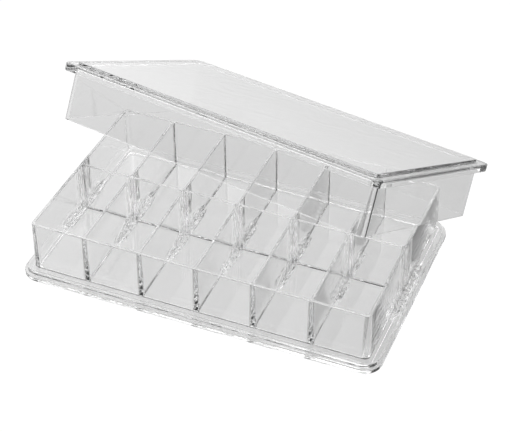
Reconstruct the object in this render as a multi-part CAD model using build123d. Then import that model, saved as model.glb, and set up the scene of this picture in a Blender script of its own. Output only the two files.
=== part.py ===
from build123d import *
import math
import os

# Compartment storage box moulded in clear plastic: a tray with two rows of cells and a deep loose lid.
# Millimetres. The origin is the centre of the tray's foot, X runs along the tray and Z points up.
# The lid lies askew over the back of the tray, as it was dropped there.

# Tray walls
wall_length = 180.0
wall_depth = 109.0
tray_height = 31.5
wall_corner_radius = 3.0
wall_draft = 0.4
wall_top_thickness = 1.6
wall_edge_radius = 0.4

# Cells
cells_along = 6
cells_across = 2
divider_top_thickness = 1.4
cell_draft = 0.5
cell_top_radius = 0.9
cell_floor_radius = 1.3
cell_floor_fillet = 0.8
floor_thickness = 1.8

# Foot of the tray, a flange with a step all round
flange_reach = 6.0
flange_thickness = 4.2
flange_corner_radius = 10.0
flange_lip_height = 2.0
flange_step = 1.6
flange_edge_radius = 0.5

# Lid
lid_clearance = 1.0
lid_wall_thickness = 1.4
lid_top_thickness = 2.0
lid_wall_draft = 0.3
lid_wall_corner_radius = 1.8
lid_flange_thickness = 4.2
lid_flange_corner_radius = 3.0
lid_flange_edge_radius = 0.5
lid_headroom = 0.3
lid_ceiling_fillet = 1.0

# Raised panel on the lid that locates in the hollow foot of a tray stacked on it
panel_inset = 1.5
panel_height = 1.2
panel_corner_radius = 1.5
panel_side_clearance = 0.4
panel_top_clearance = 0.2

# How the dropped lid lies: turned about Z, rolled about its own Y, tilted about its own X
lid_turn = -13.2
lid_roll = -2.5
lid_tilt = -27.3
lid_contact_gap = 0.15
lid_side_gap = 0.35

# An edge whose height is within this of a level lies in it
level_match = 0.001

# Sizes worked out from the ones above
wall_top_length = wall_length - 2 * wall_draft
wall_top_depth = wall_depth - 2 * wall_draft
flange_length = wall_length + 2 * flange_reach
flange_depth = wall_depth + 2 * flange_reach
lid_inner_length = wall_length + 2 * lid_clearance
lid_inner_depth = wall_depth + 2 * lid_clearance
lid_length = lid_inner_length + 2 * lid_wall_thickness
lid_depth = lid_inner_depth + 2 * lid_wall_thickness
lid_ceiling_height = tray_height - flange_thickness + lid_headroom
lid_top_height = lid_ceiling_height + lid_top_thickness
lid_wall_height = lid_top_height - lid_flange_thickness
panel_length = lid_length - 2 * panel_inset
panel_depth = lid_depth - 2 * panel_inset
foot_recess_depth = panel_height + panel_top_clearance
floor_height = foot_recess_depth + floor_thickness
cell_pitch_along = wall_length / cells_along
cell_pitch_across = wall_depth / cells_across


def rounded_outline(length, depth, radius, height):
    """A rectangle with round corners, lying level at a height."""
    return Pos(0, 0, height) * RectangleRounded(length, depth, radius)


def slab(length, depth, radius, bottom, thickness):
    """A straight-sided plate with round corners."""
    return extrude(rounded_outline(length, depth, radius, bottom), amount=thickness)


def drafted_block(length, depth, radius, bottom, top, draft):
    """A block whose four sides lean in by the draft between its bottom and its top."""
    low = rounded_outline(length, depth, radius, bottom)
    high = rounded_outline(length - 2 * draft, depth - 2 * draft, radius, top)
    return loft([low.face(), high.face()], ruled=True)


def level_edges(solid, height):
    """The edges of a solid that lie in a level plane."""
    return solid.edges().filter_by_position(Axis.Z, height - level_match, height + level_match)


def tray_foot():
    """The stepped flange, hollowed below so that it stacks on the panel of a lid."""
    lip = slab(flange_length, flange_depth, flange_corner_radius, 0, flange_lip_height)
    lip = fillet(level_edges(lip, flange_lip_height), flange_edge_radius)
    step_length = flange_length - 2 * flange_step
    step_depth = flange_depth - 2 * flange_step
    step_radius = flange_corner_radius - flange_step
    step = slab(step_length, step_depth, step_radius, 0, flange_thickness)
    step = fillet(level_edges(step, flange_thickness), flange_edge_radius)
    hollow_length = panel_length + 2 * panel_side_clearance
    hollow_depth = panel_depth + 2 * panel_side_clearance
    hollow_radius = panel_corner_radius + panel_side_clearance
    hollow = slab(hollow_length, hollow_depth, hollow_radius, 0, foot_recess_depth)
    return lip + step - hollow


def tray_walls():
    """The outer block of the tray, from the foot up, before the cells are cut."""
    block = drafted_block(
        wall_length, wall_depth, wall_corner_radius, foot_recess_depth, tray_height, wall_draft
    )
    return fillet(level_edges(block, tray_height), wall_edge_radius)


def cell_span(index, count, pitch, top_size):
    """Centre and width at the top of one cell, between dividers or a divider and an outer wall."""
    grid_start = -count * pitch / 2
    low = grid_start + index * pitch + divider_top_thickness / 2
    high = grid_start + (index + 1) * pitch - divider_top_thickness / 2
    low = max(low, wall_top_thickness - top_size / 2)
    high = min(high, top_size / 2 - wall_top_thickness)
    return (low + high) / 2, high - low


def cell_pocket(column, row):
    """The space of one cell: it narrows downwards and has a round edge at its floor."""
    x, length = cell_span(column, cells_along, cell_pitch_along, wall_top_length)
    y, depth = cell_span(row, cells_across, cell_pitch_across, wall_top_depth)
    floor_length = length - 2 * cell_draft
    floor_depth = depth - 2 * cell_draft
    low = rounded_outline(floor_length, floor_depth, cell_floor_radius, floor_height)
    high = rounded_outline(length, depth, cell_top_radius, tray_height)
    pocket = loft([low.face(), high.face()], ruled=True)
    pocket = fillet(level_edges(pocket, floor_height), cell_floor_fillet)
    return Pos(x, y, 0) * pocket


def make_tray():
    """The tray in one piece: stepped foot, floor, outer walls and dividers."""
    tray = tray_foot() + tray_walls()
    for column in range(cells_along):
        for row in range(cells_across):
            tray -= cell_pocket(column, row)
    return tray


def lid_hollow():
    """The space inside the lid, open at the rim, with a round edge at the ceiling."""
    radius = lid_wall_corner_radius
    block = drafted_block(
        lid_inner_length, lid_inner_depth, radius, 0, lid_ceiling_height, lid_wall_draft
    )
    return fillet(level_edges(block, lid_ceiling_height), lid_ceiling_fillet)


def make_lid():
    """The lid in its own frame: rim level at zero, ceiling and raised panel on top."""
    radius = lid_wall_corner_radius + lid_wall_thickness
    skirt = drafted_block(lid_length, lid_depth, radius, 0, lid_wall_height, lid_wall_draft)
    flange = slab(
        flange_length, flange_depth, lid_flange_corner_radius, lid_wall_height, lid_flange_thickness
    )
    flange_edges = level_edges(flange, lid_wall_height) + level_edges(flange, lid_top_height)
    flange = fillet(flange_edges, lid_flange_edge_radius)
    panel = slab(panel_length, panel_depth, panel_corner_radius, lid_top_height, panel_height)
    return skirt + flange + panel - lid_hollow()


def lid_rest_location():
    """Where the dropped lid lies, from its three contacts.

    Its lowest rim corner is on the table behind the tray. The inner edge of its right rim lies
    on the top of the tray's right wall. Its left wall is beside the tray's back left corner.
    """
    turned = Rot(0, 0, lid_turn) * Rot(0, lid_roll, 0) * Rot(lid_tilt, 0, 0)
    along = (turned * Pos(1, 0, 0)).position
    across = (turned * Pos(0, 1, 0)).position
    half_length = lid_length / 2
    half_depth = lid_depth / 2
    inner_half = lid_inner_length / 2
    radius = lid_wall_corner_radius + lid_wall_thickness
    drop = (half_length - radius) * abs(along.Z) + (half_depth - radius) * abs(across.Z)
    z = drop + radius * math.hypot(along.Z, across.Z)
    rim_rise = tray_height + lid_contact_gap - z - inner_half * along.Z
    x = wall_top_length / 2 - inner_half * along.X - across.X * rim_rise / across.Z
    corner = Vector(
        wall_corner_radius - wall_top_length / 2, wall_top_depth / 2 - wall_corner_radius, tray_height
    )
    nearest = along.dot(corner) - wall_corner_radius * math.hypot(along.X, along.Y)
    y = (nearest + inner_half - lid_side_gap - along.X * x - along.Z * z) / along.Y
    return Pos(x, y, z) * turned


def main():
    os.makedirs("parts", exist_ok=True)
    nodes = {"tray": make_tray(), "lid": lid_rest_location() * make_lid()}
    for name, shape in nodes.items():
        export_step(shape, f"parts/{name}.step")


main()
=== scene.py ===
"""Visual model of a clear compartment storage box.

A tray with two rows of cells stands on a stepped foot, and a deep loose lid lies askew over its
back. Both are moulded in clear polystyrene. Sizes are in millimetres and meshes are in metres.
"""

import logging
import math
from dataclasses import dataclass, replace
from enum import Enum

import bmesh
import bpy
from mathutils import Euler, Matrix, Vector


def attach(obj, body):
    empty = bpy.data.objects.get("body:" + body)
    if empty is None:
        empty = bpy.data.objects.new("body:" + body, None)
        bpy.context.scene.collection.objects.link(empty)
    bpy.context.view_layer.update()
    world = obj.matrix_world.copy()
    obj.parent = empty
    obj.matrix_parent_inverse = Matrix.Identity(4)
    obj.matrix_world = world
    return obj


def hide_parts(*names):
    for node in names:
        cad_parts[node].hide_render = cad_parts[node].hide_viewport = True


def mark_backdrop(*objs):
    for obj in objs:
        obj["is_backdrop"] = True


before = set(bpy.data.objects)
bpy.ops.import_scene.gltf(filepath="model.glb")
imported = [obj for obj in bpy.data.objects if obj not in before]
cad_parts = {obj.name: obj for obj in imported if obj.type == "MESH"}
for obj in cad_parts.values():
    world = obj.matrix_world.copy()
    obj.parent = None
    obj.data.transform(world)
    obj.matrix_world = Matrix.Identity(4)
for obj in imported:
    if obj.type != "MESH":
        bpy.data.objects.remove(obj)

log = logging.getLogger("storage_box")

MM = 0.001
# In millimetres
LEAST_RADIUS = 0.02
# In metres
WELD_REACH = 1e-7
WORN_EDGE = "worn_edge"
CORNER_SIDES = ((1, 1), (-1, 1), (-1, -1), (1, -1))


class Body(Enum):
    """The bodies that a piece can ride on."""

    TRAY = "tray"
    LID = "lid"


class Quarter(Enum):
    """The quarter turn that an edge rounding makes: its start and end angle, and if it wears."""

    TOP_TO_OUTSIDE = (90.0, 0.0, True)
    OUTSIDE_TO_BOTTOM = (0.0, -90.0, False)
    BOTTOM_TO_HOLLOW = (-90.0, -180.0, False)
    TOP_TO_POCKET = (90.0, 180.0, True)
    POCKET_TO_FLOOR = (0.0, -90.0, False)
    HOLLOW_TO_CEILING = (0.0, 90.0, False)
    WALL_TO_LEDGE = (180.0, 270.0, False)
    WALL_TO_OVERHANG = (180.0, 90.0, False)
    UNDERSIDE_TO_OUTSIDE = (-90.0, 0.0, True)
    OUTSIDE_TO_TOP = (0.0, 90.0, True)
    HOLLOW_TO_RIM = (180.0, 270.0, True)


@dataclass(frozen=True)
class Outline:
    """A level rectangle with round corners, of which some may be rounder than the rest.

    Every edge of the box follows one.
    """

    length: float
    depth: float
    radius: float
    level: float = 0.0
    x: float = 0.0
    y: float = 0.0
    rounder: tuple[float, float, float, float] = (0.0, 0.0, 0.0, 0.0)
    worn: bool = False

    def grown(self, by: float, level: float) -> "Outline":
        """Offset the outline outwards and put it at another level.

        Args:
            by: Offset of every side, negative for inwards.
            level: Height of the new outline.

        Returns:
            The new outline, whose corners keep their centres.
        """
        radius = max(self.radius + by, LEAST_RADIUS)
        return replace(
            self, length=self.length + 2 * by, depth=self.depth + 2 * by, radius=radius,
            level=level, worn=False,
        )

    def points(self, arc_steps: int) -> list[Vector]:
        """Work out the points of the outline.

        Args:
            arc_steps: Number of runs that each round corner is divided into.

        Returns:
            The points in millimetres, anticlockwise seen from above.
        """
        found = []
        for corner, (side_x, side_y) in enumerate(CORNER_SIDES):
            radius = self.radius + self.rounder[corner]
            half_x = self.length / 2 - radius
            half_y = self.depth / 2 - radius
            for step in range(arc_steps + 1):
                angle = math.radians(90 * corner + 90 * step / arc_steps)
                px = self.x + side_x * half_x + radius * math.cos(angle)
                py = self.y + side_y * half_y + radius * math.sin(angle)
                found.append(Vector((px, py, self.level)))
        return found


def rounding(
    outline: Outline, quarter: Quarter, radius: float, offset: float, level: float, steps: int = 5
) -> list[Outline]:
    """Follow an edge rounding round an outline.

    Args:
        outline: The outline that the rounding runs along.
        quarter: The quarter turn it makes.
        radius: Its radius.
        offset: How far its centre lies outside the outline.
        level: Height of its centre.
        steps: Number of runs that it is divided into.

    Returns:
        The outlines along the rounding, from its start to its end.
    """
    start, end, worn = quarter.value
    found = []
    for step in range(steps + 1):
        angle = math.radians(start + (end - start) * step / steps)
        grown = outline.grown(offset + radius * math.cos(angle), level + radius * math.sin(angle))
        found.append(replace(grown, worn=worn and step < steps))
    return found


@dataclass
class Moulding:
    """One moulded piece, built up from outlines that are joined one to the next."""

    name: str
    arc_steps: int = 8

    def __post_init__(self) -> None:
        """Start with an empty mesh, whose faces say whether they lie on a worn edge."""
        self.mesh = bmesh.new()
        self.worn = self.mesh.faces.layers.float.new(WORN_EDGE)

    def ring(self, outline: Outline) -> list[bmesh.types.BMVert]:
        """Add the points of one outline.

        Args:
            outline: Where the points go.

        Returns:
            The new vertices in order.
        """
        return [self.mesh.verts.new(p * MM) for p in outline.points(self.arc_steps)]

    def skin(
        self, outlines: list[Outline]
    ) -> tuple[list[bmesh.types.BMVert], list[bmesh.types.BMVert]]:
        """Join outlines one to the next with a band of faces.

        Args:
            outlines: The outlines in order.

        Returns:
            The vertices of the first and of the last outline.
        """
        rings = [self.ring(outline) for outline in outlines]
        for outline, low, high in zip(outlines, rings, rings[1:]):
            for index, vert in enumerate(low):
                after = (index + 1) % len(low)
                face = self.mesh.faces.new((vert, low[after], high[after], high[index]))
                face[self.worn] = float(outline.worn)
        return rings[0], rings[-1]

    def cap(self, ring: list[bmesh.types.BMVert]) -> None:
        """Close a ring of vertices with one flat face."""
        self.mesh.faces.new(ring)

    def plate(
        self, outer: list[bmesh.types.BMVert], holes: list[list[bmesh.types.BMVert]]
    ) -> None:
        """Fill the flat area between an outer ring and the rings of its holes.

        Args:
            outer: Vertices of the outer ring.
            holes: Vertices of each hole's ring.
        """
        edges = []
        for ring in [outer, *holes]:
            for index, vert in enumerate(ring):
                edges.append(self.mesh.edges.get((vert, ring[(index + 1) % len(ring)])))
        filled = bmesh.ops.triangle_fill(self.mesh, use_beauty=True, edges=edges)
        for face in filled["geom"]:
            if isinstance(face, bmesh.types.BMFace):
                face[self.worn] = 1.0

    def finish(self, place: Matrix, sharp_angle: float = 38.0) -> bpy.types.Object:
        """Turn the mesh into an object with smooth roundings and flat walls.

        Args:
            place: Where the piece lies.
            sharp_angle: Bend in degrees above which an edge is kept sharp.

        Returns:
            The new object.
        """
        bmesh.ops.remove_doubles(self.mesh, verts=self.mesh.verts, dist=WELD_REACH)
        bmesh.ops.recalc_face_normals(self.mesh, faces=self.mesh.faces)
        for edge in self.mesh.edges:
            edge.smooth = edge.calc_face_angle(0.0) < math.radians(sharp_angle)
        for face in self.mesh.faces:
            face.smooth = True
        self.mesh.transform(place)
        data = bpy.data.meshes.new(self.name)
        self.mesh.to_mesh(data)
        self.mesh.free()
        piece = bpy.data.objects.new(self.name, data)
        bpy.context.scene.collection.objects.link(piece)
        weigh = piece.modifiers.new("even_walls", "WEIGHTED_NORMAL")
        weigh.keep_sharp = True
        weigh.weight = 100
        return piece


@dataclass
class NodeSheet:
    """Adds and links the nodes of one node tree."""

    tree: bpy.types.NodeTree

    def add(self, kind: str, **settings: object) -> bpy.types.Node:
        """Add a node.

        Args:
            kind: Blender's name for the kind of node.
            settings: Properties to set on it.

        Returns:
            The new node.
        """
        node = self.tree.nodes.new(kind)
        for name, value in settings.items():
            setattr(node, name, value)
        return node

    def link(self, source: bpy.types.NodeSocket, target: bpy.types.NodeSocket) -> None:
        """Link two sockets."""
        self.tree.links.new(source, target)

    def feed(self, value: object, target: bpy.types.NodeSocket) -> None:
        """Give a socket its value.

        Args:
            value: The value, or the socket that gives it. None leaves the target alone.
            target: The socket that takes it.
        """
        if isinstance(value, bpy.types.NodeSocket):
            self.link(value, target)
        elif value is not None:
            target.default_value = value

    def math(
        self, operation: str, first: object, second: object = None, third: object = None
    ) -> bpy.types.NodeSocket:
        """Add a calculation.

        Args:
            operation: Blender's name for the operation.
            first: Its first value or the socket that gives it.
            second: Its second value or the socket that gives it.
            third: Its third value or the socket that gives it.

        Returns:
            The socket with the result.
        """
        node = self.add("ShaderNodeMath", operation=operation)
        for value, target in zip((first, second, third), node.inputs):
            self.feed(value, target)
        return node.outputs[0]

    def blend(
        self, factor: bpy.types.NodeSocket, low: object, high: object, kind: str = "FLOAT"
    ) -> bpy.types.NodeSocket:
        """Blend two values.

        Args:
            factor: The socket that gives the share of the second value.
            low: The first value or the socket that gives it.
            high: The second value or the socket that gives it.
            kind: Blender's name for the kind of value.

        Returns:
            The socket with the blend.
        """
        node = self.add("ShaderNodeMix", data_type=kind)
        for value, name in zip((factor, low, high), ("Factor", "A", "B")):
            self.feed(value, node.inputs[name])
        return node.outputs["Result"]

    def ramp(
        self, value: bpy.types.NodeSocket, ends: tuple[float, float], levels: tuple[float, float],
        smooth: bool = True,
    ) -> bpy.types.NodeSocket:
        """Turn a value from one level to another.

        Args:
            value: The socket that gives the value.
            ends: Where the turn starts and where it ends, which may be below the start.
            levels: The levels at its start and at its end.
            smooth: Whether the turn sets in and out gently.

        Returns:
            The socket with the level.
        """
        kind = "SMOOTHSTEP" if smooth else "LINEAR"
        node = self.add("ShaderNodeMapRange", interpolation_type=kind)
        self.link(value, node.inputs["Value"])
        for level, name in zip((*ends, *levels), ("From Min", "From Max", "To Min", "To Max")):
            node.inputs[name].default_value = level
        return node.outputs["Result"]

    def for_camera(self, seen: float, otherwise: bpy.types.NodeSocket) -> bpy.types.NodeSocket:
        """Choose a level by whether the ray comes straight from the camera.

        Args:
            seen: The level for rays straight from the camera.
            otherwise: The socket that gives the level for all other rays.

        Returns:
            The socket with the level.
        """
        chosen = self.add("ShaderNodeMapRange")
        self.link(self.add("ShaderNodeLightPath").outputs["Is Camera Ray"], chosen.inputs["Value"])
        self.link(otherwise, chosen.inputs["To Min"])
        chosen.inputs["To Max"].default_value = seen
        return chosen.outputs["Result"]

    def noise(
        self, place: bpy.types.NodeSocket, waves: object, detail: float
    ) -> bpy.types.NodeSocket:
        """Add a noise.

        Args:
            place: The socket that gives the place.
            waves: Number of waves to a metre or the socket that gives it.
            detail: Number of finer noises laid over it.

        Returns:
            The socket with the noise.
        """
        node = self.add("ShaderNodeTexNoise", noise_dimensions="3D")
        self.link(place, node.inputs["Vector"])
        self.feed(waves, node.inputs["Scale"])
        node.inputs["Detail"].default_value = detail
        return node.outputs["Fac"]

    def streaks(
        self, place: bpy.types.NodeSocket, fineness: tuple[float, float, float]
    ) -> bpy.types.NodeSocket:
        """Make a noise that is stretched into streaks.

        Args:
            place: The socket that gives the place.
            fineness: Number of waves to a metre along each axis.

        Returns:
            The socket with the noise.
        """
        stretch = self.add("ShaderNodeMapping")
        stretch.inputs["Scale"].default_value = fineness
        self.link(place, stretch.inputs["Vector"])
        return self.noise(stretch.outputs["Vector"], 1.0, 1.0)

    def bump(
        self, height: bpy.types.NodeSocket, distance: float, normal: object = None
    ) -> bpy.types.NodeSocket:
        """Raise a surface by a height.

        Args:
            height: The socket that gives the height.
            distance: How far a height of one rises, in metres.
            normal: The socket that gives the normal to start from, if there is one.

        Returns:
            The socket with the new normal.
        """
        node = self.add("ShaderNodeBump")
        node.inputs["Strength"].default_value = 1.0
        node.inputs["Distance"].default_value = distance
        self.link(height, node.inputs["Height"])
        self.feed(normal, node.inputs["Normal"])
        return node.outputs["Normal"]


def new_group(name: str, inputs: dict[str, float | None], outputs: list[str]) -> NodeSheet:
    """Start a shader node group.

    Args:
        name: Name of the group.
        inputs: Its inputs with their first values, None for a place in space.
        outputs: Its outputs, all numbers.

    Returns:
        The sheet of the group, with its input and output nodes in it.
    """
    group = bpy.data.node_groups.new(name, "ShaderNodeTree")
    for label, value in inputs.items():
        kind = "NodeSocketVector" if value is None else "NodeSocketFloat"
        socket = group.interface.new_socket(name=label, in_out="INPUT", socket_type=kind)
        if value is not None:
            socket.default_value = value
    for label in outputs:
        group.interface.new_socket(name=label, in_out="OUTPUT", socket_type="NodeSocketFloat")
    sheet = NodeSheet(group)
    sheet.add("NodeGroupInput", name="in")
    sheet.add("NodeGroupOutput", name="out")
    return sheet


@dataclass(frozen=True)
class MouldFlow:
    """The slow waves and faint clouds that the melt leaves in a thin moulded wall."""

    size: float = 60.0
    stretch: float = 1.5
    wave_detail: float = 1.0
    cloud_share: float = 0.6
    cloud_detail: float = 3.0

    def group(self) -> bpy.types.NodeTree:
        """Build the group.

        Returns:
            The group, which puts out a wave height and a cloud mask.
        """
        inputs = {"Place": None, "Size": self.size, "Stretch": self.stretch}
        sheet = new_group("mould_flow", inputs, ["Wave", "Cloud"])
        source, out = sheet.tree.nodes["in"], sheet.tree.nodes["out"]
        place, size = source.outputs["Place"], source.outputs["Size"]
        wave = sheet.noise(place, size, self.wave_detail)
        sheet.link(source.outputs["Stretch"], wave.node.inputs["Distortion"])
        sheet.link(wave, out.inputs["Wave"])
        waves = sheet.math("MULTIPLY", size, self.cloud_share)
        sheet.link(sheet.noise(place, waves, self.cloud_detail), out.inputs["Cloud"])
        return sheet.tree


@dataclass(frozen=True)
class HandlingWear:
    """The hairline scratches and the haze that handling leaves on a polished surface."""

    spacing: float = 140.0
    width: float = 0.012
    haze_size: float = 25.0
    haze_detail: float = 2.0
    turn: tuple[float, float, float] = (0.3, 0.2, 0.7)
    stretch: tuple[float, float, float] = (1.0, 0.16, 1.0)
    patch_from: float = 0.56

    def group(self) -> bpy.types.NodeTree:
        """Build the group.

        Returns:
            The group, which puts out a scratch mask and a haze mask.
        """
        inputs = {
            "Place": None, "Spacing": self.spacing, "Width": self.width, "Haze Size": self.haze_size
        }
        sheet = new_group("handling_wear", inputs, ["Scratch", "Haze"])
        source, out = sheet.tree.nodes["in"], sheet.tree.nodes["out"]
        place = source.outputs["Place"]
        turned = sheet.add("ShaderNodeMapping")
        turned.inputs["Rotation"].default_value = self.turn
        turned.inputs["Scale"].default_value = self.stretch
        sheet.link(place, turned.inputs["Vector"])
        cells = sheet.add("ShaderNodeTexVoronoi", feature="DISTANCE_TO_EDGE")
        sheet.link(turned.outputs["Vector"], cells.inputs["Vector"])
        sheet.link(source.outputs["Spacing"], cells.inputs["Scale"])
        line = sheet.math("LESS_THAN", cells.outputs["Distance"], source.outputs["Width"])
        haze = sheet.noise(place, source.outputs["Haze Size"], self.haze_detail)
        patch = sheet.math("GREATER_THAN", haze, self.patch_from)
        sheet.link(sheet.math("MULTIPLY", line, patch), out.inputs["Scratch"])
        sheet.link(haze, out.inputs["Haze"])
        return sheet.tree


@dataclass(frozen=True)
class CutterMarks:
    """The streaks that the cutter left in the mould where the dividers cross, in metres.

    They run upright on the faces of the cross dividers and along their foot near the floor. A
    cross divider or an end wall stands at every pitch along X, and the long divider at Y zero.
    """

    pitch: float = 0.03
    foot_level: float = 0.0032
    foot_reach: float = 0.024
    face_reach: float = 0.009
    beside: tuple[float, float] = (0.0032, 0.0018)
    foot_to_face: tuple[float, float] = (0.001, 0.009)
    fade: tuple[float, float] = (1.0, 0.6)
    face_fineness: tuple[float, float, float] = (500.0, 900.0, 130.0)
    foot_fineness: tuple[float, float, float] = (700.0, 280.0, 700.0)
    foot_strength: float = 6.0

    def group(self) -> bpy.types.NodeTree:
        """Build the group.

        Returns:
            The group, which puts out the height of the marks.
        """
        inputs = {
            "Place": None, "Pitch": self.pitch, "Foot Level": self.foot_level,
            "Foot Reach": self.foot_reach, "Face Reach": self.face_reach,
        }
        sheet = new_group("cutter_marks", inputs, ["Marks"])
        source, out = sheet.tree.nodes["in"], sheet.tree.nodes["out"]
        place, pitch = source.outputs["Place"], source.outputs["Pitch"]
        split = sheet.add("ShaderNodeSeparateXYZ")
        sheet.link(place, split.inputs[0])
        turns = sheet.math("DIVIDE", split.outputs["X"], pitch)
        off = sheet.math("ABSOLUTE", sheet.math("SUBTRACT", turns, sheet.math("ROUND", turns)))
        near = sheet.ramp(sheet.math("MULTIPLY", off, pitch), self.beside, (0.0, 1.0))
        rise = sheet.math("SUBTRACT", split.outputs["Z"], source.outputs["Foot Level"])
        upward = sheet.ramp(rise, self.foot_to_face, (0.0, 1.0))
        reach = sheet.blend(upward, source.outputs["Foot Reach"], source.outputs["Face Reach"])
        share = sheet.math("DIVIDE", sheet.math("ABSOLUTE", split.outputs["Y"]), reach)
        crossing = sheet.math("MULTIPLY", near, sheet.ramp(share, self.fade, (0.0, 1.0)))
        along = sheet.math("MULTIPLY", sheet.streaks(place, self.foot_fineness), self.foot_strength)
        streaks = sheet.blend(upward, along, sheet.streaks(place, self.face_fineness))
        sheet.link(sheet.math("MULTIPLY", crossing, streaks), out.inputs["Marks"])
        return sheet.tree


@dataclass(frozen=True)
class ClearPolystyrene:
    """The finish of one clear moulded piece."""

    name: str
    colour: tuple[float, float, float, float] = (1.0, 1.0, 1.0, 1.0)
    cloud_colour: tuple[float, float, float, float] = (0.985, 0.985, 0.985, 1.0)
    depth_colour: tuple[float, float, float, float] = (0.5, 0.51, 0.515, 1.0)
    depth_density: float = 3.5
    bend_of_light: float = 1.59
    haze: float = 0.02
    scratch_roughness: float = 0.03
    edge_roughness: float = 0.05
    edge_coat_roughness: float = 0.35
    edge_coat_bend: float = 2.0
    wave_size: float = 60.0
    wave_height: float = 0.00002
    scratch_spacing: float = 140.0
    mark_depth: float = 0.0

    def material(
        self, flow: bpy.types.NodeTree, wear: bpy.types.NodeTree, marks: bpy.types.NodeTree
    ) -> bpy.types.Material:
        """Build the material.

        Args:
            flow: The group with the moulding's waves and clouds.
            wear: The group with the handling marks.
            marks: The group with the mould cutter's marks.

        Returns:
            The new material.
        """
        material = bpy.data.materials.new(self.name)
        material.use_nodes = True
        sheet = NodeSheet(material.node_tree)
        shader = material.node_tree.nodes["Principled BSDF"]
        shader.inputs["Transmission Weight"].default_value = 1.0
        shader.inputs["Metallic"].default_value = 0.0
        shader.inputs["IOR"].default_value = self.bend_of_light
        shader.inputs["Coat Roughness"].default_value = self.edge_coat_roughness
        shader.inputs["Coat IOR"].default_value = self.edge_coat_bend
        place = sheet.add("ShaderNodeTexCoord").outputs["Object"]
        flowing = sheet.add("ShaderNodeGroup", node_tree=flow)
        flowing.inputs["Size"].default_value = self.wave_size
        sheet.link(place, flowing.inputs["Place"])
        worn = sheet.add("ShaderNodeGroup", node_tree=wear)
        worn.inputs["Spacing"].default_value = self.scratch_spacing
        sheet.link(place, worn.inputs["Place"])
        tint = sheet.blend(flowing.outputs["Cloud"], self.colour, self.cloud_colour, "RGBA")
        sheet.link(tint, shader.inputs["Base Color"])
        hazy = sheet.math("MULTIPLY", worn.outputs["Haze"], self.haze)
        rough = sheet.math("MULTIPLY_ADD", worn.outputs["Scratch"], self.scratch_roughness, hazy)
        edge = sheet.add("ShaderNodeAttribute", attribute_name=WORN_EDGE)
        rubbed = sheet.math("MULTIPLY_ADD", edge.outputs["Fac"], self.edge_roughness, rough)
        sheet.link(rubbed, shader.inputs["Roughness"])
        sheet.link(edge.outputs["Fac"], shader.inputs["Coat Weight"])
        cut = None
        if self.mark_depth:
            marked = sheet.add("ShaderNodeGroup", node_tree=marks)
            sheet.link(place, marked.inputs["Place"])
            cut = sheet.bump(marked.outputs["Marks"], self.mark_depth)
        surface = sheet.bump(flowing.outputs["Wave"], self.wave_height, cut)
        sheet.link(surface, shader.inputs["Normal"])
        depth = sheet.add("ShaderNodeVolumeAbsorption")
        depth.inputs["Color"].default_value = self.depth_colour
        depth.inputs["Density"].default_value = self.depth_density
        sheet.link(depth.outputs["Volume"], material.node_tree.nodes["Material Output"].inputs["Volume"])
        return material


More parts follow.
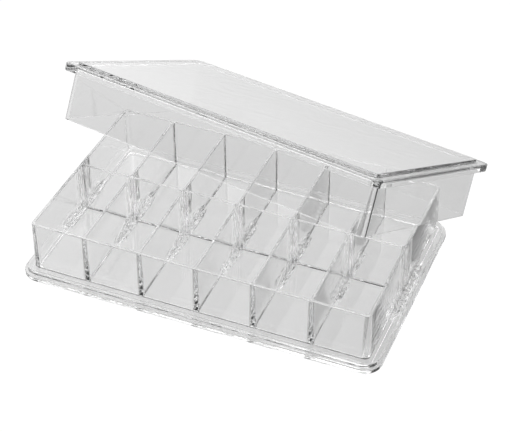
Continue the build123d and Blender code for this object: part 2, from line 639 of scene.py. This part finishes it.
@dataclass
class Tray:
    """The tray: foot, walls and dividers in one moulding."""

    wall: Outline = Outline(180.0, 109.0, 3.0)
    height: float = 31.5
    draft: float = 0.4
    edge: float = 0.4
    columns: int = 6
    rows: int = 2
    divider_top: float = 1.4
    wall_top: float = 1.6
    cell_draft: float = 0.3
    cell_radius: float = 0.9
    floor_radius: float = 1.3
    floor_fillet: float = 0.5
    end_corner: float = 1.2
    floor_level: float = 3.2
    rim_edge: float = 0.3
    lip: Outline = Outline(192.0, 121.0, 10.0)
    lip_height: float = 2.0
    step: Outline = Outline(188.8, 117.8, 8.4)
    step_height: float = 4.2
    foot_edge: float = 0.5
    inside_edge: float = 0.25
    under_edge: float = 0.1
    hollow: Outline = Outline(182.6, 111.6, 1.9)
    hollow_depth: float = 1.4

    def outside(self) -> list[Outline]:
        """List the outlines of the outside, from the top of the walls down and under the foot.

        Returns:
            The outlines in order.
        """
        foot, inner = self.foot_edge, self.inside_edge
        top = self.wall.grown(-self.draft, self.height)
        outlines = rounding(top, Quarter.TOP_TO_OUTSIDE, self.edge, -self.edge, self.height - self.edge)
        outlines += rounding(
            self.wall, Quarter.WALL_TO_LEDGE, inner, inner, self.step_height + inner
        )
        outlines += rounding(
            self.step, Quarter.TOP_TO_OUTSIDE, foot, -foot, self.step_height - foot
        )
        outlines += rounding(
            self.step, Quarter.WALL_TO_LEDGE, inner, inner, self.lip_height + inner
        )
        outlines += rounding(self.lip, Quarter.TOP_TO_OUTSIDE, foot, -foot, self.lip_height - foot)
        under = self.under_edge
        outlines += rounding(self.lip, Quarter.OUTSIDE_TO_BOTTOM, under, -under, under)
        outlines += rounding(self.hollow, Quarter.BOTTOM_TO_HOLLOW, inner, inner, inner)
        outlines += rounding(
            self.hollow, Quarter.HOLLOW_TO_CEILING, inner, -inner, self.hollow_depth - inner
        )
        return outlines

    def span(self, index: int, count: int, pitch: float, size: float) -> tuple[float, float]:
        """Find the centre and the width of a cell at its top.

        Args:
            index: Number of the cell along the row.
            count: Number of cells in the row.
            pitch: Distance from one divider to the next.
            size: Size of the walls' outline at the top.

        Returns:
            The centre and the width.
        """
        low = (index - count / 2) * pitch + self.divider_top / 2
        high = (index + 1 - count / 2) * pitch - self.divider_top / 2
        low = max(low, self.wall_top - size / 2)
        high = min(high, size / 2 - self.wall_top)
        return (low + high) / 2, high - low

    def pocket(self, column: int, row: int) -> list[Outline]:
        """List the outlines of one cell, from its rim down to its floor.

        Args:
            column: Number of the cell along the tray.
            row: Number of the cell across it.

        Returns:
            The outlines in order.
        """
        top = self.wall.grown(-self.draft, self.height)
        x, length = self.span(column, self.columns, self.wall.length / self.columns, top.length)
        y, depth = self.span(row, self.rows, self.wall.depth / self.rows, top.depth)
        end = {0: -1, self.columns - 1: 1}.get(column)
        side = {0: -1, self.rows - 1: 1}.get(row)
        rounder = tuple(self.end_corner * ((end, side) == corner) for corner in CORNER_SIDES)
        rim = Outline(length, depth, self.cell_radius, self.height, x, y, rounder)
        low = Outline(
            length - 2 * self.cell_draft, depth - 2 * self.cell_draft, self.floor_radius,
            self.floor_level, x, y, rounder,
        )
        edge, fillet = self.rim_edge, self.floor_fillet
        outlines = rounding(rim, Quarter.TOP_TO_POCKET, edge, edge, self.height - edge, steps=4)
        outlines += rounding(
            low, Quarter.POCKET_TO_FLOOR, fillet, -fillet, self.floor_level + fillet, steps=7
        )
        return outlines

    def build(self) -> bpy.types.Object:
        """Build the tray.

        Returns:
            The new object.
        """
        moulding = Moulding("clear_tray")
        outer, under = moulding.skin(self.outside())
        moulding.cap(under)
        rims = []
        for column in range(self.columns):
            for row in range(self.rows):
                rim, floor = moulding.skin(self.pocket(column, row))
                moulding.cap(floor)
                rims.append(rim)
        moulding.plate(outer, rims)
        return moulding.finish(Matrix.Identity(4))


@dataclass
class Lid:
    """The lid: skirt, top with a flange all round, and the raised stacking panel."""

    inner: Outline = Outline(182.0, 111.0, 2.8)
    wall_thickness: float = 1.4
    draft: float = 0.3
    skirt_height: float = 25.4
    ceiling: float = 27.6
    ceiling_fillet: float = 1.0
    rim_edge: float = 0.3
    flange: Outline = Outline(192.0, 121.0, 3.05)
    flange_thickness: float = 4.2
    flange_edge: float = 0.5
    inside_edge: float = 0.25
    panel: Outline = Outline(181.8, 110.8, 1.5)
    panel_height: float = 1.2
    panel_edge: float = 0.3
    turn: float = -13.2
    roll: float = -2.5
    tilt: float = -27.3
    rest_at: tuple[float, float, float] = (-0.0224, 35.7156, 29.9698)

    def section(self) -> list[Outline]:
        """List the outlines from the ceiling down the inside, round the rim and up to the panel.

        Returns:
            The outlines in order.
        """
        outer = self.inner.grown(self.wall_thickness, 0.0)
        rim, inner = self.rim_edge, self.inside_edge
        top = self.skirt_height + self.flange_thickness
        high = self.inner.grown(-self.draft, self.ceiling)
        fillet = self.ceiling_fillet
        outlines = rounding(
            high, Quarter.HOLLOW_TO_CEILING, fillet, -fillet, self.ceiling - fillet
        )[::-1]
        outlines += rounding(self.inner, Quarter.HOLLOW_TO_RIM, rim, rim, rim)
        outlines += rounding(outer, Quarter.UNDERSIDE_TO_OUTSIDE, rim, -rim, rim)
        outlines += rounding(
            outer.grown(-self.draft, 0.0), Quarter.WALL_TO_OVERHANG, inner, inner,
            self.skirt_height - inner,
        )
        edge = self.flange_edge
        outlines += rounding(
            self.flange, Quarter.UNDERSIDE_TO_OUTSIDE, edge, -edge, self.skirt_height + edge
        )
        outlines += rounding(self.flange, Quarter.OUTSIDE_TO_TOP, edge, -edge, top - edge)
        outlines += rounding(self.panel, Quarter.WALL_TO_LEDGE, inner, inner, top + inner)[::-1]
        edge = self.panel_edge
        outlines += rounding(
            self.panel, Quarter.OUTSIDE_TO_TOP, edge, -edge, top + self.panel_height - edge
        )
        return outlines

    def place(self) -> Matrix:
        """Work out where the dropped lid lies.

        Returns:
            Its turn, roll and tilt, and then its place.
        """
        turned = Euler((0.0, 0.0, math.radians(self.turn))).to_matrix()
        turned = turned @ Euler((0.0, math.radians(self.roll), 0.0)).to_matrix()
        turned = turned @ Euler((math.radians(self.tilt), 0.0, 0.0)).to_matrix()
        return Matrix.Translation(Vector(self.rest_at) * MM) @ turned.to_4x4()

    def build(self) -> bpy.types.Object:
        """Build the lid where it lies.

        Returns:
            The new object.
        """
        moulding = Moulding("clear_lid")
        ceiling, panel = moulding.skin(self.section())
        moulding.cap(ceiling)
        moulding.cap(panel)
        return moulding.finish(self.place())


@dataclass(frozen=True)
class SoftBox:
    """A soft box hung far off, placed by its direction from the object, in degrees.

    Its edges fade over the share `softness` of its size on either side of them.
    """

    name: str
    azimuth: float
    elevation: float
    width: float
    height: float
    strength: float
    softness: float = 0.12
    least_ahead: float = 0.02

    def glow(self, sheet: NodeSheet, direction: bpy.types.NodeSocket) -> bpy.types.NodeSocket:
        """Work out how brightly the box shines from a direction.

        Args:
            sheet: The sheet of the room's nodes.
            direction: The socket that gives the direction.

        Returns:
            The socket with the brightness.
        """
        azimuth, elevation = math.radians(self.azimuth), math.radians(self.elevation)
        level = math.cos(elevation)
        ahead = Vector((math.sin(azimuth) * level, math.cos(azimuth) * level, math.sin(elevation)))
        across = Vector((math.cos(azimuth), -math.sin(azimuth), 0.0))
        upward = across.cross(ahead)
        parts = []
        for axis in (ahead, across, upward):
            along = sheet.add("ShaderNodeVectorMath", operation="DOT_PRODUCT")
            sheet.link(direction, along.inputs[0])
            along.inputs[1].default_value = axis
            parts.append(along.outputs["Value"])
        shine = sheet.math("GREATER_THAN", parts[0], self.least_ahead)
        for part, size in zip(parts[1:], (self.width, self.height)):
            reach = math.tan(math.radians(size / 2))
            slope = sheet.math("ABSOLUTE", sheet.math("DIVIDE", part, parts[0]))
            ends = (reach * (1 + self.softness), reach * (1 - self.softness))
            shine = sheet.math("MULTIPLY", shine, sheet.ramp(slope, ends, (0.0, 1.0)))
        return sheet.math("MULTIPLY", shine, self.strength)


@dataclass
class Studio:
    """The pale floor, the soft light and the camera."""

    floor_gap: float = 0.0001
    floor_size: float = 6.0
    floor_colour: tuple[float, float, float, float] = (0.01, 0.01, 0.01, 1.0)
    floor_roughness: float = 0.9
    floor_glow: float = 1.02
    glow_through_front: float = 0.55
    glow_through_back: float = 0.8
    glow_gain_at_left: float = 0.15
    shade_from_to: tuple[float, float] = (0.05, 0.12)
    shade_depth: float = 0.05
    fade_reach: float = 0.3
    backdrop: float = 1.02
    room: float = 0.05
    through_bounces: int = 32
    mirror_bounces: int = 16
    boxes: tuple[SoftBox, ...] = (
        SoftBox("right_low", 90.0, 12.0, 90.0, 22.0, 1.8),
        SoftBox("right_high", 90.0, 38.0, 90.0, 26.0, 0.5),
        SoftBox("left_high", 270.0, 38.0, 80.0, 26.0, 0.9),
        SoftBox("back_high", 0.0, 62.0, 90.0, 22.0, 1.6),
        SoftBox("back_left", -24.0, 39.0, 44.0, 22.0, 1.2),
        SoftBox("back_mid", 0.0, 20.0, 90.0, 14.0, 0.7),
        SoftBox("back_low", 0.0, 6.0, 90.0, 12.0, 2.6),
        SoftBox("front_high", 180.0, 60.0, 90.0, 24.0, 2.9),
        SoftBox("front_low", 180.0, 12.0, 90.0, 24.0, 0.15),
        SoftBox("overhead", 0.0, 88.0, 30.0, 30.0, 5.0),
    )
    azimuth: float = 22.584
    elevation: float = 39.138
    roll: float = -0.155
    lens: float = 107.81
    camera_at: tuple[float, float, float] = (0.23941, -0.55316, 0.51421)

    def floor_material(self) -> bpy.types.Material:
        """Build the floor's material, which is white to the camera and dimmer through the box.

        Returns:
            The new material.
        """
        material = bpy.data.materials.new("pale_floor")
        material.use_nodes = True
        shader = material.node_tree.nodes["Principled BSDF"]
        shader.inputs["Base Color"].default_value = self.floor_colour
        shader.inputs["Roughness"].default_value = self.floor_roughness
        shader.inputs["Specular IOR Level"].default_value = 0.0
        shader.inputs["Emission Color"].default_value = (1.0, 1.0, 1.0, 1.0)
        sheet = NodeSheet(material.node_tree)
        split = sheet.add("ShaderNodeSeparateXYZ")
        sheet.link(sheet.add("ShaderNodeNewGeometry").outputs["Position"], split.inputs[0])
        ends = (-self.fade_reach, self.fade_reach)
        levels = (self.glow_through_front, self.glow_through_back)
        through = sheet.ramp(split.outputs["Y"], ends, levels, smooth=False)
        levels = (self.glow_gain_at_left, -self.glow_gain_at_left)
        across = sheet.ramp(split.outputs["X"], ends, levels, smooth=False)
        shaded = sheet.ramp(split.outputs["X"], self.shade_from_to, (0.0, -self.shade_depth))
        dimmed = sheet.math("ADD", sheet.math("ADD", through, across), shaded)
        glow = sheet.for_camera(self.floor_glow, dimmed)
        sheet.link(glow, shader.inputs["Emission Strength"])
        return material

    def floor(self) -> bpy.types.Object:
        """Lay the pale floor.

        Returns:
            The floor, marked as stage.
        """
        data = bpy.data.meshes.new("floor")
        half = self.floor_size / 2
        sides = ((-1, -1), (1, -1), (1, 1), (-1, 1))
        corners = [(x * half, y * half, -self.floor_gap) for x, y in sides]
        data.from_pydata(corners, [], [(0, 1, 2, 3)])
        data.materials.append(self.floor_material())
        floor = bpy.data.objects.new("floor", data)
        bpy.context.scene.collection.objects.link(floor)
        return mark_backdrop(floor)

    def light(self) -> None:
        """Hang the soft boxes in the dim room, behind a pale backdrop that only the camera sees."""
        world = bpy.data.worlds.new("room")
        world.use_nodes = True
        sheet = NodeSheet(world.node_tree)
        background = world.node_tree.nodes["Background"]
        background.inputs["Color"].default_value = (1.0, 1.0, 1.0, 1.0)
        direction = sheet.add("ShaderNodeTexCoord").outputs["Generated"]
        level = self.room
        for box in self.boxes:
            level = sheet.math("ADD", box.glow(sheet, direction), level)
        sheet.link(sheet.for_camera(self.backdrop, level), background.inputs["Strength"])
        bpy.context.scene.world = world

    def camera(self) -> bpy.types.Object:
        """Set the camera at the photograph's viewing angle.

        Returns:
            The camera.
        """
        azimuth, elevation = math.radians(self.azimuth), math.radians(self.elevation)
        level = math.cos(elevation)
        back = Vector((math.sin(azimuth) * level, -math.cos(azimuth) * level, math.sin(elevation)))
        right = (-back).cross(Vector((0.0, 0.0, 1.0))).normalized()
        up = back.cross(right)
        roll = math.radians(self.roll)
        across = math.cos(roll) * right + math.sin(roll) * up
        upward = math.cos(roll) * up - math.sin(roll) * right
        data = bpy.data.cameras.new("camera")
        data.sensor_fit = "HORIZONTAL"
        data.sensor_width = 36.0
        data.lens = self.lens
        camera = bpy.data.objects.new("camera", data)
        axes = Matrix((across, upward, back)).transposed().to_4x4()
        camera.matrix_world = Matrix.Translation(Vector(self.camera_at)) @ axes
        bpy.context.scene.collection.objects.link(camera)
        bpy.context.scene.camera = camera
        return camera

    def exposure(self) -> None:
        """Show white as white, and let light pass through all the walls that lie in its way."""
        scene = bpy.context.scene
        scene.view_settings.view_transform = "Standard"
        scene.cycles.max_bounces = self.through_bounces
        scene.cycles.transmission_bounces = self.through_bounces
        scene.cycles.glossy_bounces = self.mirror_bounces


def report(piece: bpy.types.Object) -> None:
    """Log the name and the number of faces of a piece."""
    log.info("%s: %d faces", piece.name, len(piece.data.polygons))


def main() -> None:
    """Build the storage box and its studio."""
    logging.basicConfig(level=logging.INFO, format="%(name)s %(message)s")
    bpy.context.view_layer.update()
    studio = Studio()
    studio.camera()
    studio.floor()
    studio.light()
    studio.exposure()
    flow, wear, marks = MouldFlow().group(), HandlingWear().group(), CutterMarks().group()
    tray_finish = ClearPolystyrene("tray_polystyrene", mark_depth=0.0004)
    lid_finish = ClearPolystyrene("lid_polystyrene", wave_size=45.0)
    pieces = ((Body.TRAY, Tray(), tray_finish), (Body.LID, Lid(), lid_finish))
    for body, part, finish in pieces:
        piece = part.build()
        piece.data.materials.append(finish.material(flow, wear, marks))
        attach(piece, body.value)
        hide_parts(body.value)
        report(piece)


if __name__ == "__main__":
    main()
